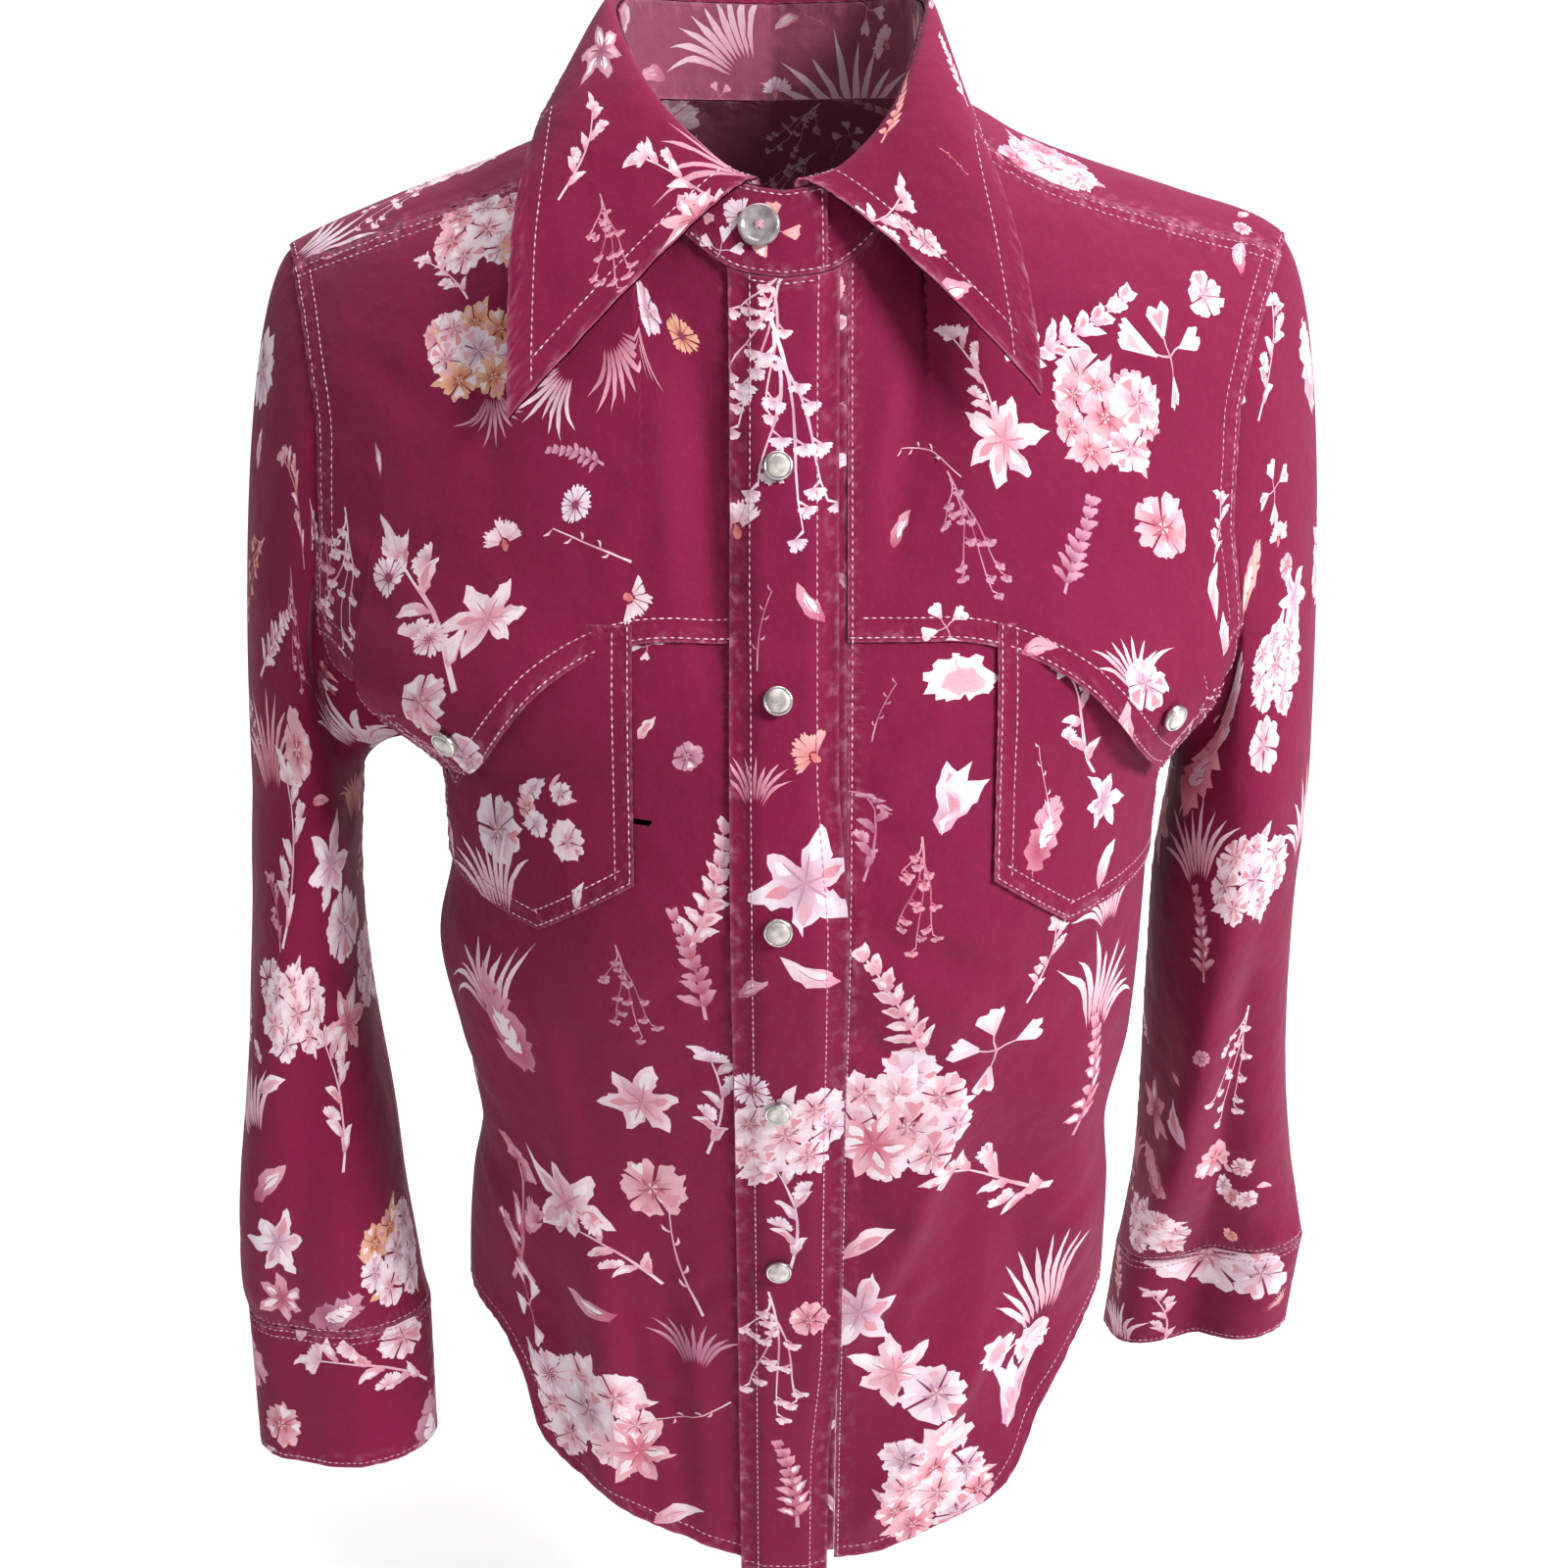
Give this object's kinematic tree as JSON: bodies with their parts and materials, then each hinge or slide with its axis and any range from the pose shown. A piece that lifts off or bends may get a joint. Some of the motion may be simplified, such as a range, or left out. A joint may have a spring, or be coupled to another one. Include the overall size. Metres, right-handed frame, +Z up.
{
  "type": "western snap shirt",
  "caption": "Fitted western shirt in floral cotton, worn form: pointed collar, scalloped front yokes, patch pockets, snap placket, long cuffed sleeves, shirttail hem",
  "frame": {"origin": "the centre of the neck, level with the sides of the neck seam, where the wearer holds the shirt up", "axes": "+X to the wearer's left, the front faces -Y, +Z up"},
  "size_m": [0.5216, 0.2631, 0.6941],
  "materials": {
    "cloth": "matt washed cotton with a floral print",
    "pearl": "smoky pearl cap in a bright metal rim",
    "button": "clear grey, polished"
  },
  "bodies": {
    "root": {"back": "cloth", "back_yoke": "cloth", "collar": "cloth", "collar_button": "button", "collar_stand": "cloth", "cuff_left": "cloth", "cuff_right": "cloth", "flap_snap_left": "pearl", "flap_snap_right": "pearl", "front_left": "cloth", "front_right": "cloth", "front_yoke_left": "cloth", "front_yoke_right": "cloth", "placket_snap_1": "pearl", "placket_snap_2": "pearl", "placket_snap_3": "pearl", "placket_snap_4": "pearl", "placket_snap_5": "pearl", "pocket_left": "cloth", "pocket_right": "cloth", "sleeve_left": "cloth", "sleeve_right": "cloth", "snap_placket": "cloth", "under_placket": "cloth"}
  },
  "joints": []
}
